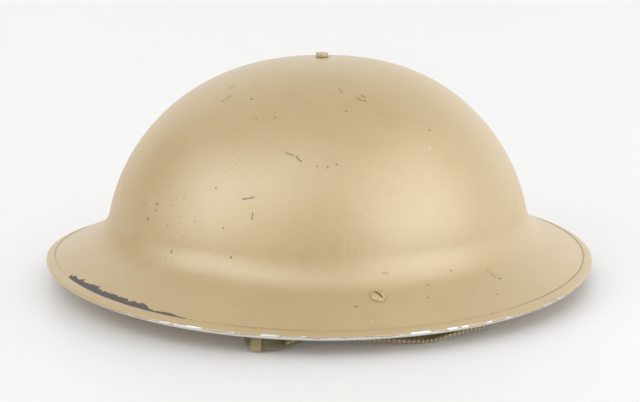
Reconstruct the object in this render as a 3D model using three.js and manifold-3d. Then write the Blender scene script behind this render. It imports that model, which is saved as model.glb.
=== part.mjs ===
// Steel helmet: a pressed soup-bowl shell with a folded rim band, a crown screw, two strap lugs on screws and
// a webbing chin strap. Millimetres, +Z up, front towards -X, the wearer's left towards -Y. The helmet stands
// on its right rim and on its own strap, which props up the left rim; the surface is z = 0 and the origin is
// on it, below the middle of the rim.
import * as THREE from "three";
import { mergeVertices } from "three/addons/utils/BufferGeometryUtils.js";
import Module from "manifold-3d";

const wasm = await Module();
wasm.setup();

// Driving dimensions.
const GAP = 0.3; // left between pieces that touch
const SECTORS = 64; // steps round the shell and the rim band
const SCREW_STEPS = 20;
const RIM = { halfLength: 152.5, halfWidth: 147.4, fullness: 2.065, rearSpread: 0.01, saddle: 3 };
const DOME = {
  halfLength: 119.5,
  halfWidth: 111.1,
  rearSpread: 0.013,
  planPower: 2.344,
  risePower: 1.78,
  foot: 12,
  top: 111.5,
};
const CROWN = new THREE.Vector3(1.7, -0.5, DOME.top); // a little off the middle of the dome's foot
const SHELL = { thickness: 1, brimSlope: THREE.MathUtils.degToRad(24.6), filletRun: 11, filletTop: 0.986 };
const BAND = { thickness: 0.45, flange: 4.5 };
const POSE = { leftSideUp: 1.7, towards: -15, lift: 8.4 }; // degrees, degrees, millimetres
const CROWN_SCREW = {
  headRadius: 3.4,
  headHeight: 2.1,
  chamfer: 0.5,
  shankRadius: 2,
  shankLength: 9,
  slotWidth: 1,
  slotDepth: 0.9,
};
const CROWN_NUT = { acrossFlats: 7.5, height: 3 };
const LUG_SCREW = {
  headRadius: 3.7,
  headHeight: 2,
  shankRadius: 2,
  slotWidth: 1.1,
  slotDepth: 1.1,
  endHeight: 1.2,
};
const LUG = {
  around: 91.4,
  upBrim: 27.2,
  plate: 1.5,
  width: 18,
  back: 6,
  wall: 8.5,
  slotTop: -6.3,
  barTop: -9.3,
  barBottom: -11.9,
};
const STRAP = { width: 13, webbingThickness: 1.8, elasticThickness: 2.2 };
const KEEPER = { wall: 0.5, clearance: 0.6 };

const PAINT = new THREE.Color(0xcbb28a);
const paintedSteel = () => new THREE.MeshStandardMaterial({ color: PAINT, roughness: 0.6, metalness: 0 });
const bareSteel = () => new THREE.MeshStandardMaterial({ color: 0x9a9894, roughness: 0.4, metalness: 1 });
const webbing = () => new THREE.MeshStandardMaterial({ color: 0x7d7350, roughness: 0.95, metalness: 0 });
const elastic = () => new THREE.MeshStandardMaterial({ color: 0x96784b, roughness: 0.95, metalness: 0 });

const UP = new THREE.Vector3(0, 0, 1);

// ---- Meshes from rings of points --------------------------------------------------------------------------

function geometryOf(points, triangles) {
  const geometry = new THREE.BufferGeometry().setFromPoints(points);
  geometry.setIndex(triangles.flat());
  geometry.computeVertexNormals();
  return geometry;
}

// Quads between ring a and ring b, whose vertices start at these indices.
function joinRings(a, b, count, closed = true) {
  const triangles = [];
  for (let i = 0; i < (closed ? count : count - 1); i += 1) {
    const next = (i + 1) % count;
    triangles.push([a + i, a + next, b + next], [a + i, b + next, b + i]);
  }
  return triangles;
}

// A section swept through a list of rings. Open sweeps get flat ends.
function sweepRings(rings, closed) {
  const count = rings[0].length;
  const triangles = [];
  for (let r = 0; r < rings.length - (closed ? 0 : 1); r += 1)
    triangles.push(...joinRings(r * count, ((r + 1) % rings.length) * count, count));
  if (!closed) {
    const last = (rings.length - 1) * count;
    for (let i = 1; i < count - 1; i += 1) triangles.push([0, i + 1, i], [last, last + i, last + i + 1]);
  }
  return geometryOf(rings.flat(), triangles);
}

// ---- Cuts -------------------------------------------------------------------------------------------------

function solidOf(geometry) {
  const bare = geometry.clone();
  bare.deleteAttribute("normal");
  bare.deleteAttribute("uv");
  const merged = mergeVertices(bare, 1e-4);
  return new wasm.Manifold(
    new wasm.Mesh({
      numProp: 3,
      vertProperties: merged.attributes.position.array,
      triVerts: new Uint32Array(merged.index.array),
    }),
  );
}

function cut(geometry, ...tools) {
  const solid = tools.reduce((left, tool) => left.subtract(solidOf(tool)), solidOf(geometry));
  const mesh = solid.getMesh();
  const result = new THREE.BufferGeometry();
  result.setAttribute("position", new THREE.BufferAttribute(mesh.vertProperties, 3));
  result.setIndex(new THREE.BufferAttribute(mesh.triVerts, 1));
  result.computeVertexNormals();
  return result;
}

// A round drill along local Z, centred on its frame's origin.
function drill(radius, length, frame = new THREE.Matrix4()) {
  return new THREE.CylinderGeometry(radius, radius, length, 20).rotateX(Math.PI / 2).applyMatrix4(frame);
}

// ---- The form of the shell --------------------------------------------------------------------------------

function outline(t, halfLength, halfWidth, fullness, rearSpread) {
  const power = (v) => Math.sign(v) * Math.abs(v) ** (2 / fullness);
  return new THREE.Vector3(
    halfLength * power(Math.cos(t)),
    halfWidth * power(Math.sin(t)) * (1 + rearSpread * Math.cos(t)),
    0,
  );
}

function rimPoint(t, inset) {
  const point = outline(t, RIM.halfLength - inset, RIM.halfWidth - inset, RIM.fullness, RIM.rearSpread);
  return point.setZ(RIM.saddle * Math.cos(2 * t));
}

// A point of the dome, from its foot at rho 1 to the crown at rho 0. Its rings drift to the crown's place.
function domePoint(t, rho) {
  const point = outline(t, DOME.halfLength, DOME.halfWidth, 2, DOME.rearSpread).multiplyScalar(rho);
  const rise = (1 - rho ** DOME.planPower) ** (1 / DOME.risePower);
  const drift = (1 - rho ** 2) ** 2;
  return point.addScaledVector(CROWN, drift).setZ(DOME.foot + (DOME.top - DOME.foot) * rise);
}

// The frame of the brim at angle t: the middle of the plate's edge, the way up the slope and the way off it.
function brimFrame(t) {
  const edge = rimPoint(t, BAND.thickness + GAP);
  const level = domePoint(t, 1).sub(edge).setZ(0);
  const run = level.length();
  level.normalize();
  const [rise, reach] = [Math.sin(SHELL.brimSlope), Math.cos(SHELL.brimSlope)];
  const inward = level.clone().multiplyScalar(reach).addScaledVector(UP, rise);
  const off = level.clone().multiplyScalar(-rise).addScaledVector(UP, reach);
  const at = (along, out) => edge.clone().addScaledVector(inward, along).addScaledVector(off, out);
  return { at, inward, length: run / reach };
}

// One line of the outer face from the rim to near the crown: flat brim, concave fillet, dome.
function meridian(t) {
  const { at, inward, length } = brimFrame(t);
  const straight = length - SHELL.filletRun;
  const face = SHELL.thickness / 2;
  const corner = at(length, face);
  const start = at(straight, face);
  const end = domePoint(t, SHELL.filletTop);
  const down = end.clone().sub(domePoint(t, SHELL.filletTop - 0.01)).normalize();
  const fillet = new THREE.CubicBezierCurve3(
    start,
    start.clone().addScaledVector(inward, 0.6 * SHELL.filletRun),
    end.clone().addScaledVector(down, 0.6 * end.distanceTo(corner)),
    end,
  );
  const points = [at(0, face), at(straight / 2, face), ...fillet.getPoints(5)];
  const domeRings = 11;
  for (let k = 1; k < domeRings; k += 1)
    points.push(domePoint(t, SHELL.filletTop * Math.cos((Math.PI / 2) * (k / domeRings))));
  return points;
}

function shellGeometry() {
  const angles = Array.from({ length: SECTORS }, (_, i) => (2 * Math.PI * i) / SECTORS);
  const lines = angles.map(meridian);
  const rows = lines[0].length;
  const outer = Array.from({ length: rows }, (_, r) => lines.map((line) => line[r]));
  const inner = outer.map((ring, r) =>
    ring.map((point, i) => {
      const round = ring[(i + 1) % SECTORS].clone().sub(ring[(i + SECTORS - 1) % SECTORS]);
      const above = outer[Math.min(r + 1, rows - 1)][i];
      const below = outer[Math.max(r - 1, 0)][i];
      const normal = round.cross(above.clone().sub(below)).normalize();
      return point.clone().addScaledVector(normal, -SHELL.thickness);
    }),
  );
  const points = [...outer.flat(), CROWN, ...inner.flat(), CROWN.clone().setZ(DOME.top - SHELL.thickness)];
  const crownOuter = rows * SECTORS;
  const innerStart = crownOuter + 1;
  const crownInner = points.length - 1;
  const triangles = [];
  for (let r = 0; r < rows - 1; r += 1) {
    triangles.push(...joinRings(r * SECTORS, (r + 1) * SECTORS, SECTORS));
    triangles.push(...joinRings(innerStart + (r + 1) * SECTORS, innerStart + r * SECTORS, SECTORS));
  }
  triangles.push(...joinRings(innerStart, 0, SECTORS));
  for (let i = 0; i < SECTORS; i += 1) {
    const next = (i + 1) % SECTORS;
    const lastOuter = (rows - 1) * SECTORS;
    const lastInner = innerStart + lastOuter;
    triangles.push([lastOuter + i, lastOuter + next, crownOuter]);
    triangles.push([lastInner + next, lastInner + i, crownInner]);
  }
  return geometryOf(points, triangles);
}

// ---- Rim band: a strip folded over the edge of the shell --------------------------------------------------

function bandGeometry() {
  const clear = SHELL.thickness / 2 + GAP;
  const face = clear + BAND.thickness;
  const section = [
    [BAND.flange, face],
    [0, face],
    [-0.5 * face, 0.55 * face],
    [-GAP - BAND.thickness, 0],
    [-0.5 * face, -0.55 * face],
    [0, -face],
    [BAND.flange, -face],
    [BAND.flange, -clear],
    [-GAP, -clear],
    [-GAP, clear],
    [BAND.flange, clear],
  ];
  const rings = [];
  for (let i = 0; i < SECTORS; i += 1) {
    const { at } = brimFrame((2 * Math.PI * i) / SECTORS);
    rings.push(section.map(([along, out]) => at(along, out)));
  }
  return sweepRings(rings, true);
}

// ---- Crown screw and nut ----------------------------------------------------------------------------------

function crownScrewGeometry() {
  const { headRadius, headHeight, chamfer, shankRadius, shankLength, slotWidth, slotDepth } = CROWN_SCREW;
  const profile = [
    [0, -shankLength],
    [shankRadius, -shankLength],
    [shankRadius, GAP],
    [headRadius, GAP],
    [headRadius, GAP + headHeight - chamfer],
    [headRadius - chamfer, GAP + headHeight],
    [0, GAP + headHeight],
  ].map(([r, z]) => new THREE.Vector2(r, z));
  const body = new THREE.LatheGeometry(profile, SCREW_STEPS).rotateX(Math.PI / 2);
  const slot = new THREE.BoxGeometry(3 * headRadius, slotWidth, 2 * slotDepth);
  return cut(body, slot.translate(0, 0, GAP + headHeight));
}

function crownNutGeometry() {
  const corner = CROWN_NUT.acrossFlats / 2 / Math.cos(Math.PI / 6);
  const corners = Array.from({ length: 6 }, (_, i) =>
    new THREE.Vector2(corner, 0).rotateAround(new THREE.Vector2(), (i * Math.PI) / 3),
  );
  const hexagon = new THREE.Shape(corners);
  hexagon.holes.push(new THREE.Path().absarc(0, 0, CROWN_SCREW.shankRadius + GAP, 0, 2 * Math.PI, true));
  const options = { depth: CROWN_NUT.height, bevelEnabled: false, curveSegments: 20 };
  return new THREE.ExtrudeGeometry(hexagon, options);
}

// ---- Lugs and their screws --------------------------------------------------------------------------------
// A lug's own frame stands on the outer face of the brim at its screw: Z off the face, X the way that the
// strap pulls, Y along the slot.

const plateTop = -SHELL.thickness - GAP - 0.2;
const plateBottom = plateTop - LUG.plate;
const barMiddle = (LUG.barTop + LUG.barBottom) / 2;
const wallMiddle = LUG.wall + LUG.plate / 2;

function lugScrewGeometry() {
  const { headRadius, headHeight, shankRadius, slotWidth, slotDepth, endHeight } = LUG_SCREW;
  const base = GAP + 0.2;
  const domed = Array.from({ length: 6 }, (_, i) => {
    const angle = (Math.PI / 2) * (i / 6);
    return [headRadius * Math.cos(angle), base + 0.5 + (headHeight - 0.5) * Math.sin(angle)];
  });
  const end = plateBottom - GAP;
  const profile = [
    [0, end - endHeight],
    [shankRadius + 1, end - endHeight],
    [shankRadius + 1, end],
    [shankRadius, end],
    [shankRadius, base],
    [headRadius, base],
    ...domed,
    [0, base + headHeight],
  ].map(([r, z]) => new THREE.Vector2(r, z));
  const body = new THREE.LatheGeometry(profile, SCREW_STEPS).rotateX(Math.PI / 2);
  const slot = new THREE.BoxGeometry(3 * headRadius, slotWidth, 2 * slotDepth);
  return cut(body, slot.translate(0, 0, base + headHeight));
}

function lugGeometry() {
  const side = new THREE.Shape()
    .moveTo(-LUG.back, plateTop)
    .lineTo(-LUG.back, plateBottom)
    .lineTo(LUG.wall, plateBottom)
    .lineTo(LUG.wall, LUG.barBottom)
    .lineTo(LUG.wall + LUG.plate, LUG.barBottom)
    .lineTo(LUG.wall + LUG.plate, plateTop - 0.5)
    .lineTo(LUG.wall + LUG.plate - 0.5, plateTop);
  const body = new THREE.ExtrudeGeometry(side, { depth: LUG.width, bevelEnabled: false })
    .translate(0, 0, -LUG.width / 2)
    .rotateX(Math.PI / 2);
  const slotHeight = LUG.slotTop - LUG.barTop;
  const slot = new THREE.BoxGeometry(3 * LUG.plate, STRAP.width + 2 * GAP + 0.8, slotHeight).translate(
    wallMiddle,
    0,
    LUG.barTop + slotHeight / 2,
  );
  const plateFrame = new THREE.Matrix4().makeTranslation(0, 0, plateTop);
  const hole = drill(LUG_SCREW.shankRadius + GAP, 6 * LUG.plate, plateFrame);
  return cut(body, slot, hole);
}

// The frame of a lug: on side -1, the wearer's left, the strap pulls towards the rear, on side 1 inwards.
function lugFrame(side) {
  const { at, inward } = brimFrame(side * THREE.MathUtils.degToRad(LUG.around));
  const origin = at(LUG.upBrim, SHELL.thickness / 2);
  const off = at(0, 1).sub(at(0, 0));
  const pull = side < 0 ? inward.clone().cross(off).normalize() : inward.clone();
  const slotWay = off.clone().cross(pull).normalize();
  return new THREE.Matrix4().makeBasis(pull, slotWay, off).setPosition(origin);
}

// ---- The helmet group: tilted, because the strap props up its left side -----------------------------------

const helmet = new THREE.Group();
const towards = THREE.MathUtils.degToRad(POSE.towards);
helmet.quaternion.setFromAxisAngle(
  new THREE.Vector3(Math.cos(towards), Math.sin(towards), 0),
  -THREE.MathUtils.degToRad(POSE.leftSideUp),
);
helmet.position.z = POSE.lift;
helmet.updateMatrixWorld(true);

function addMesh(group, name, geometry, material) {
  const mesh = new THREE.Mesh(geometry, material);
  mesh.name = name;
  group.add(mesh);
  return mesh;
}

const crownFrame = new THREE.Matrix4().setPosition(CROWN);
const lugFrames = { left: lugFrame(-1), right: lugFrame(1) };

const holes = [
  drill(CROWN_SCREW.shankRadius + GAP, 8 * SHELL.thickness, crownFrame),
  ...Object.values(lugFrames).map((frame) => drill(LUG_SCREW.shankRadius + GAP, 8 * SHELL.thickness, frame)),
];
addMesh(helmet, "shell", cut(shellGeometry(), ...holes), paintedSteel());
addMesh(helmet, "rim_band", bandGeometry(), paintedSteel());
addMesh(helmet, "crown_screw", crownScrewGeometry(), paintedSteel()).applyMatrix4(crownFrame);
const nutBottom = DOME.top - SHELL.thickness - GAP - CROWN_NUT.height;
addMesh(helmet, "crown_nut", crownNutGeometry(), bareSteel()).position.copy(CROWN).setZ(nutBottom);
for (const [name, frame] of Object.entries(lugFrames)) {
  addMesh(helmet, `strap_lug_${name}`, lugGeometry(), paintedSteel()).applyMatrix4(frame);
  const turned = new THREE.Matrix4().makeRotationZ(THREE.MathUtils.degToRad(-60)).premultiply(frame);
  addMesh(helmet, `lug_screw_${name}`, lugScrewGeometry(), paintedSteel()).applyMatrix4(turned);
}

// ---- Chin strap: one loop from the left lug to the right lug ----------------------------------------------
// A station is the middle of the strap and the way across it. Each row below gives the strap's lower edge on
// its way from the left lug: where it is, how far it is above the surface, and how far the strap leans up
// from flat, towards the inside of the loop.

const ROUTE = [
  { x: 29, y: -118, lift: 8, lean: 143 }, // inner run, inside the left brim
  { x: 38, y: -113.5, lift: 5.5, lean: 125 },
  { x: 46.5, y: -110.5, lift: 3.5, lean: 102 },
  { x: 53.5, y: -111.5, lift: 2.8, lean: 86 }, // rear bend, stood on its edge
  { x: 57.5, y: -118, lift: 2.6, lean: 74 },
  { x: 55.5, y: -126, lift: 2.6, lean: 62 },
  { x: 48, y: -131.5, lift: 2.6, lean: 46 }, // outer run, under the left rim
  { x: 38.5, y: -134.5, lift: 2.6, lean: 26 },
  { x: 28.5, y: -136.3, lift: 1.7, lean: 8 },
  { x: 18, y: -136.5, lift: 0, lean: 3 },
  { x: 3.7, y: -136.6, lift: 1.4, lean: 3 },
  { x: -15, y: -134, lift: 3, lean: 5 },
  { x: -30, y: -130.8, lift: 4, lean: 10 },
  { x: -41, y: -128, lift: 3.3, lean: 28 },
  { x: -51, y: -128.5, lift: 1.2, lean: 44 },
  { x: -60.5, y: -128.4, lift: KEEPER.wall + KEEPER.clearance, lean: 62 },
  { x: -66.3, y: -124.6, lift: KEEPER.wall + KEEPER.clearance, lean: 66 }, // front bend, stood on its edge
  { x: -67, y: -117, lift: KEEPER.wall + KEEPER.clearance, lean: 77 },
  { x: -64.5, y: -104, lift: 0.2, lean: 74 },
  { x: -58, y: -84, lift: 0, lean: 50 },
  { x: -47, y: -54, lift: 0, lean: 18 },
  { x: -36, y: -20, lift: 0, lean: 0 }, // across, flat on the surface
  { x: -30, y: 2, lift: 0, lean: 0 },
  { x: -24, y: 24, lift: 0, lean: 0 },
  { x: -18.5, y: 45, lift: 0, lean: 0 },
  { x: -13.5, y: 66, lift: 1.5, lean: 0 },
];
const STEPS_PER_ROW = 4;
// Rows between which a webbing end lies over the elastic, sewn to it, and those under the keeper.
const SEWN = { left: { from: 0.25, to: 1.25 }, right: { from: 13, to: 14 } };
const KEPT = { from: 15.25, to: 16 };

// Smooth values between the rows of the route.
const places = new THREE.CatmullRomCurve3(ROUTE.map(({ x, y, lift }) => new THREE.Vector3(x, y, lift)));
const leanPoints = ROUTE.map(({ lean }) => new THREE.Vector3(lean, 0, 0));
const leans = new THREE.CatmullRomCurve3(leanPoints, false, "catmullrom");

// The strap at a row: `across` is the way from its lower to its upper edge, `off` the way off its outer face.
function routeStation(row, thickness, offset = 0) {
  const share = row / (ROUTE.length - 1);
  const edge = places.getPoint(share);
  const lean = THREE.MathUtils.degToRad(Math.max(leans.getPoint(share).x, 0));
  const heading = places.getTangent(share).negate().setZ(0).normalize();
  const across = UP.clone().cross(heading).multiplyScalar(Math.cos(lean)).addScaledVector(UP, Math.sin(lean));
  const off = heading.clone().cross(across);
  edge.z = Math.max(edge.z, 0) + (thickness / 2) * Math.abs(off.z);
  return { middle: edge.addScaledVector(across, STRAP.width / 2).addScaledVector(off, offset), across, off };
}

// The way round a lug's bar, from the end of the tail to where the strap leaves the lug, in world space.
function lugStations(frame) {
  const toWorld = helmet.matrixWorld.clone().multiply(frame);
  const across = new THREE.Vector3(0, 1, 0).transformDirection(toWorld);
  const turn = (LUG.barTop - LUG.barBottom) / 2 + GAP + STRAP.webbingThickness / 2 + 0.2;
  const mainLayer = barMiddle + turn;
  const tail = mainLayer - STRAP.webbingThickness - GAP;
  const turned = Array.from({ length: 7 }, (_, i) => -Math.PI / 2 - (Math.PI * i) / 6);
  return [
    [wallMiddle + 13, tail],
    [wallMiddle + 7.5, tail],
    [wallMiddle + 4, barMiddle - 0.6 * turn],
    ...turned.map((angle) => [wallMiddle + turn * Math.cos(angle), barMiddle + turn * Math.sin(angle)]),
    [wallMiddle + 7.5, mainLayer],
    [wallMiddle + 13, mainLayer],
  ].map(([x, z]) => ({ middle: new THREE.Vector3(x, 0, z).applyMatrix4(toWorld), across: across.clone() }));
}

// A flat strap's section with slightly rounded edges, as [across, off] from its middle.
function strapSection(width, thickness) {
  const [w, t] = [width / 2, thickness / 2];
  const rounding = 0.6 * t;
  return [
    [-w, rounding - t],
    [rounding - w, -t],
    [w - rounding, -t],
    [w, rounding - t],
    [w, t - rounding],
    [w - rounding, t],
    [rounding - w, t],
    [-w, t - rounding],
  ];
}

// The strap's section at each station, grown by `grow` on every side.
function strapRings(stations, thickness, grow = 0) {
  return stations.map((station, i) => {
    const { middle, across } = station;
    if (i && across.dot(stations[i - 1].across) < 0) across.negate();
    const before = stations[Math.max(i - 1, 0)].middle;
    const after = stations[Math.min(i + 1, stations.length - 1)].middle;
    const level = after.clone().sub(before).cross(across).normalize();
    const off = station.off ? station.off.clone().multiplyScalar(Math.sign(level.dot(station.off))) : level;
    return strapSection(STRAP.width + 2 * grow, thickness + 2 * grow).map(([a, o]) =>
      middle.clone().addScaledVector(across, a).addScaledVector(off, o),
    );
  });
}

function routeStations({ from, to }, thickness, offsetAt = () => 0) {
  const steps = Math.round((to - from) * STEPS_PER_ROW);
  return Array.from({ length: steps + 1 }, (_, i) => {
    const row = from + ((to - from) * i) / steps;
    return routeStation(row, thickness, offsetAt(row));
  });
}

// A sleeve round the strap.
function keeperGeometry() {
  const inside = strapRings(routeStations(KEPT, webbingThickness), webbingThickness, KEEPER.clearance);
  const outer = KEEPER.clearance + KEEPER.wall;
  const outside = strapRings(routeStations(KEPT, webbingThickness), webbingThickness, outer);
  return sweepRings([...outside, ...inside.reverse()], true);
}

const strap = new THREE.Group();
const { webbingThickness, elasticThickness } = STRAP;
// Where they are sewn, the elastic runs behind the left webbing and over the right one.
const beside = elasticThickness + 2 * GAP;
const offsetAt = (row) =>
  beside *
  (THREE.MathUtils.smoothstep(row, SEWN.left.to + 0.2, SEWN.left.to + 1.4) -
    1 +
    THREE.MathUtils.smoothstep(row, SEWN.right.from - 1.4, SEWN.right.from - 0.2));

const tabs = {
  left: [
    ...lugStations(lugFrames.left),
    ...routeStations({ from: 0, to: SEWN.left.to }, webbingThickness),
  ],
  right: [
    ...routeStations({ from: SEWN.right.from, to: ROUTE.length - 1 }, webbingThickness),
    ...lugStations(lugFrames.right).reverse(),
  ],
};
const middlePart = routeStations({ from: SEWN.left.from, to: SEWN.right.to }, elasticThickness, offsetAt);
for (const [side, stations] of Object.entries(tabs))
  addMesh(strap, `strap_tab_${side}`, sweepRings(strapRings(stations, webbingThickness), false), webbing());
addMesh(strap, "strap_elastic", sweepRings(strapRings(middlePart, elasticThickness), false), elastic());
addMesh(strap, "strap_keeper", keeperGeometry(), webbing());

const part = new THREE.Group();
part.name = "steel_helmet";
part.add(helmet, strap);
export default part;
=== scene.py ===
from math import acos, atan2, copysign, cos, pi, radians, sin, tau

import bmesh
import bpy
from mathutils import Matrix, Vector


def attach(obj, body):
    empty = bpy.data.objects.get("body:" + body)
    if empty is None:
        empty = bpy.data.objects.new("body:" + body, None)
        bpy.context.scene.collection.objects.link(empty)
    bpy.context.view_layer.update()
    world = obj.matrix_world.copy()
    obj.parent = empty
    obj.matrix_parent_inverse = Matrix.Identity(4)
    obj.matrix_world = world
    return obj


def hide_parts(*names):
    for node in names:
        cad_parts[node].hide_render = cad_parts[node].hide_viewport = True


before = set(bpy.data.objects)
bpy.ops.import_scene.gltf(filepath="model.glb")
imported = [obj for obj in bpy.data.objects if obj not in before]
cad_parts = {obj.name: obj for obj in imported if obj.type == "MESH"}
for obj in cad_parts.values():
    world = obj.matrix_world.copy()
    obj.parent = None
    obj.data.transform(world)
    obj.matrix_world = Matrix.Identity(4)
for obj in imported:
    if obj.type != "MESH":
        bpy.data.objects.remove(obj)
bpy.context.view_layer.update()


# ---- Shell ----------------------------------------------------------------
# One sheet of steel pressed into a bowl with a wide sloping brim, and sprayed
# with sand paint. It leans a little, because the chin strap folded under its
# left side props that rim up.

UP = Vector((0, 0, 1))
LEAN, LEAN_WAY = radians(-1.7), radians(-15)  # how far it leans, and about which level line
RAISED = 0.0084  # middle of the rim above the surface
LEANING = Matrix.Rotation(LEAN, 4, Vector((cos(LEAN_WAY), sin(LEAN_WAY), 0)))
HELMET = Matrix.Translation((0, 0, RAISED)) @ LEANING

SHEET = 0.001  # thickness of the steel
RIM = (0.1525, 0.1474)  # half length and half width over the rim band
RIM_FULLNESS, RIM_REAR_SPREAD = 2.065, 0.01  # fullness 2 is an ellipse; the spread widens the rear
RIM_SADDLE = 0.003  # front and rear of the rim above its middle height, sides below
EDGE_INSET = 0.00075  # from the outside of the rim band in to the sheet's edge
DOME, DOME_REAR_SPREAD = (0.1195, 0.1111), 0.013  # half length and half width at its foot
DOME_FOOT, DOME_TOP = 0.012, 0.1115  # heights above the middle of the rim
DOME_PLAN_POWER, DOME_RISE_POWER = 2.344, 1.78  # how full its side is
CROWN = Vector((0.0017, -0.0005, DOME_TOP))  # a little off the middle of the dome's foot
BRIM_SLOPE = radians(24.6)
FILLET_RUN, FILLET_TOP = 0.011, 0.986  # its length on the brim, and the share of the dome where it ends
FILLET_PULL = 0.6  # how tightly it bends
CROWN_HOLE, LUG_HOLE = 0.0023, 0.0023  # radii
SHELL_STEPS = 288
BRIM_ROWS, FILLET_ROWS, DOME_ROWS = 24, 12, 48


def plan_outline(turn, half_sizes, fullness, rear_spread):
    """A point on the helmet's outline from above, slightly squared and slightly wider at the rear."""
    length, width = (
        half * copysign(abs(part) ** (2 / fullness), part)
        for half, part in zip(half_sizes, (cos(turn), sin(turn)))
    )
    return Vector((length, width * (1 + rear_spread * cos(turn)), 0))


def dome_point(turn, share):
    """A point of the dome, from share 1 at its foot to share 0 at the crown, to which its rings drift."""
    point = plan_outline(turn, DOME, 2, DOME_REAR_SPREAD) * share
    point += CROWN * (1 - share**2) ** 2
    rise = (1 - share**DOME_PLAN_POWER) ** (1 / DOME_RISE_POWER)
    point.z = DOME_FOOT + (DOME_TOP - DOME_FOOT) * rise
    return point


class Brim:
    """The brim's slope at one turn: where its edge is, the way up it, the way off it and its length."""

    def __init__(self, turn):
        sizes = [half - EDGE_INSET for half in RIM]
        self.edge = plan_outline(turn, sizes, RIM_FULLNESS, RIM_REAR_SPREAD)
        self.edge.z = RIM_SADDLE * cos(2 * turn)
        level = (dome_point(turn, 1) - self.edge) * Vector((1, 1, 0))
        run = level.length
        level.normalize()
        self.inward = level * cos(BRIM_SLOPE) + UP * sin(BRIM_SLOPE)
        self.off = UP * cos(BRIM_SLOPE) - level * sin(BRIM_SLOPE)
        self.length = run / cos(BRIM_SLOPE)

    def at(self, along, out):
        """The point this far up the slope from its edge and this far off it."""
        return self.edge + self.inward * along + self.off * out


def shell_line(turn):
    """The outer face from the rim to the crown hole: flat brim, hollow fillet, dome."""
    brim = Brim(turn)
    straight = brim.length - FILLET_RUN
    points = [brim.at(straight * row / BRIM_ROWS, SHEET / 2) for row in range(BRIM_ROWS)]
    start, end = brim.at(straight, SHEET / 2), dome_point(turn, FILLET_TOP)
    just_above = dome_point(turn, FILLET_TOP - 0.01)
    down = (end - just_above).normalized()
    pull = FILLET_PULL * (end - brim.at(brim.length, SHEET / 2)).length
    bends = [start, start + brim.inward * FILLET_PULL * FILLET_RUN, end + down * pull, end]
    for row in range(FILLET_ROWS):
        s = row / FILLET_ROWS
        weights = ((1 - s) ** 3, 3 * s * (1 - s) ** 2, 3 * s * s * (1 - s), s**3)
        points.append(sum((point * weight for point, weight in zip(bends, weights)), Vector()))
    last = acos(CROWN_HOLE / DOME[0] / FILLET_TOP)
    for row in range(DOME_ROWS + 1):
        points.append(dome_point(turn, FILLET_TOP * cos(last * row / DOME_ROWS)))
    return points


def turned(profile, steps, closed=False):
    """A profile, as points of radius and height, turned once round Z."""
    mesh = bmesh.new()
    line = [mesh.verts.new((radius, 0, height)) for radius, height in profile]
    edges = [mesh.edges.new(pair) for pair in zip(line, line[1:])]
    if closed:
        edges.append(mesh.edges.new((line[-1], line[0])))
    bmesh.ops.spin(
        mesh,
        geom=line + edges,
        cent=(0, 0, 0),
        axis=(0, 0, 1),
        dvec=(0, 0, 0),
        angle=tau,
        steps=steps,
        use_merge=True,
    )
    return mesh


def drum(rows, steps, closed=False):
    """A plain drum of rings, one for each row, still to be drawn out to its true shape."""
    return turned([(1, row) for row in range(rows)], steps, closed)


def draw_out(mesh, steps, lines, rows_across, closed_rows=False):
    """Moves each vertex of a drum to its place in lines[step][row].

    The UV map says how far round the helmet it is, in turns, and how far across.
    """
    chart = mesh.loops.layers.uv.new("round_and_across")
    for face in mesh.faces:
        centre = face.calc_center_median()
        middle = atan2(centre.y, centre.x) / tau
        span = [round(loop.vert.co.z) for loop in face.loops]
        wraps = closed_rows and max(span) - min(span) > 1
        for loop in face.loops:
            turn = atan2(loop.vert.co.y, loop.vert.co.x) / tau
            row = round(loop.vert.co.z)
            across = rows_across[-1] if wraps and row == 0 else rows_across[row]
            loop[chart].uv = (turn + round(middle - turn), across)
    for vert in mesh.verts:
        step = round(atan2(vert.co.y, vert.co.x) / tau * steps) % steps
        vert.co = lines[step][round(vert.co.z)]


def finish_mesh(mesh, name, place=None):
    """Puts the piece in its place, merges its doubles, turns its faces outwards and shades it smooth."""
    if place is not None:
        bmesh.ops.transform(mesh, matrix=place, verts=mesh.verts)
    bmesh.ops.remove_doubles(mesh, verts=mesh.verts, dist=1e-6)
    bmesh.ops.recalc_face_normals(mesh, faces=mesh.faces)
    data = bpy.data.meshes.new(name)
    mesh.to_mesh(data)
    mesh.free()
    data.shade_smooth()
    piece = bpy.data.objects.new(name, data)
    bpy.context.scene.collection.objects.link(piece)
    return piece


def seat(piece, slot, *replaced):
    """The piece belongs to the helmet's one body and stands for these CAD nodes."""
    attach(piece, "root")
    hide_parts(*replaced)


def pierce(mesh, centre, radius):
    """A round hole through the sheet: the faces round it become one, inset to a circle and taken out."""
    near = [face for face in mesh.faces if (face.calc_center_median() - centre).length < 1.5 * radius]
    patch = bmesh.ops.dissolve_faces(mesh, faces=near)["region"]
    bmesh.ops.inset_individual(mesh, faces=patch, thickness=0.2 * radius)
    for vert in patch[0].verts:
        vert.co = centre + (vert.co - centre).normalized() * radius
    bmesh.ops.delete(mesh, geom=patch, context="FACES")


LUG_AROUND, LUG_UP_BRIM = radians(91.4), 0.0272  # turned from the rear, and up from the sheet's edge


def lug_frame(side):
    """Where a strap lug is screwed on, side -1 being the wearer's left: Z off the brim, X along its pull."""
    brim = Brim(side * LUG_AROUND)
    pull = brim.inward.cross(brim.off) if side < 0 else brim.inward.copy()
    slot_way = brim.off.cross(pull)
    axes = Matrix((pull, slot_way, brim.off)).transposed().to_4x4()
    return Matrix.Translation(brim.at(LUG_UP_BRIM, SHEET / 2)) @ axes


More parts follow.
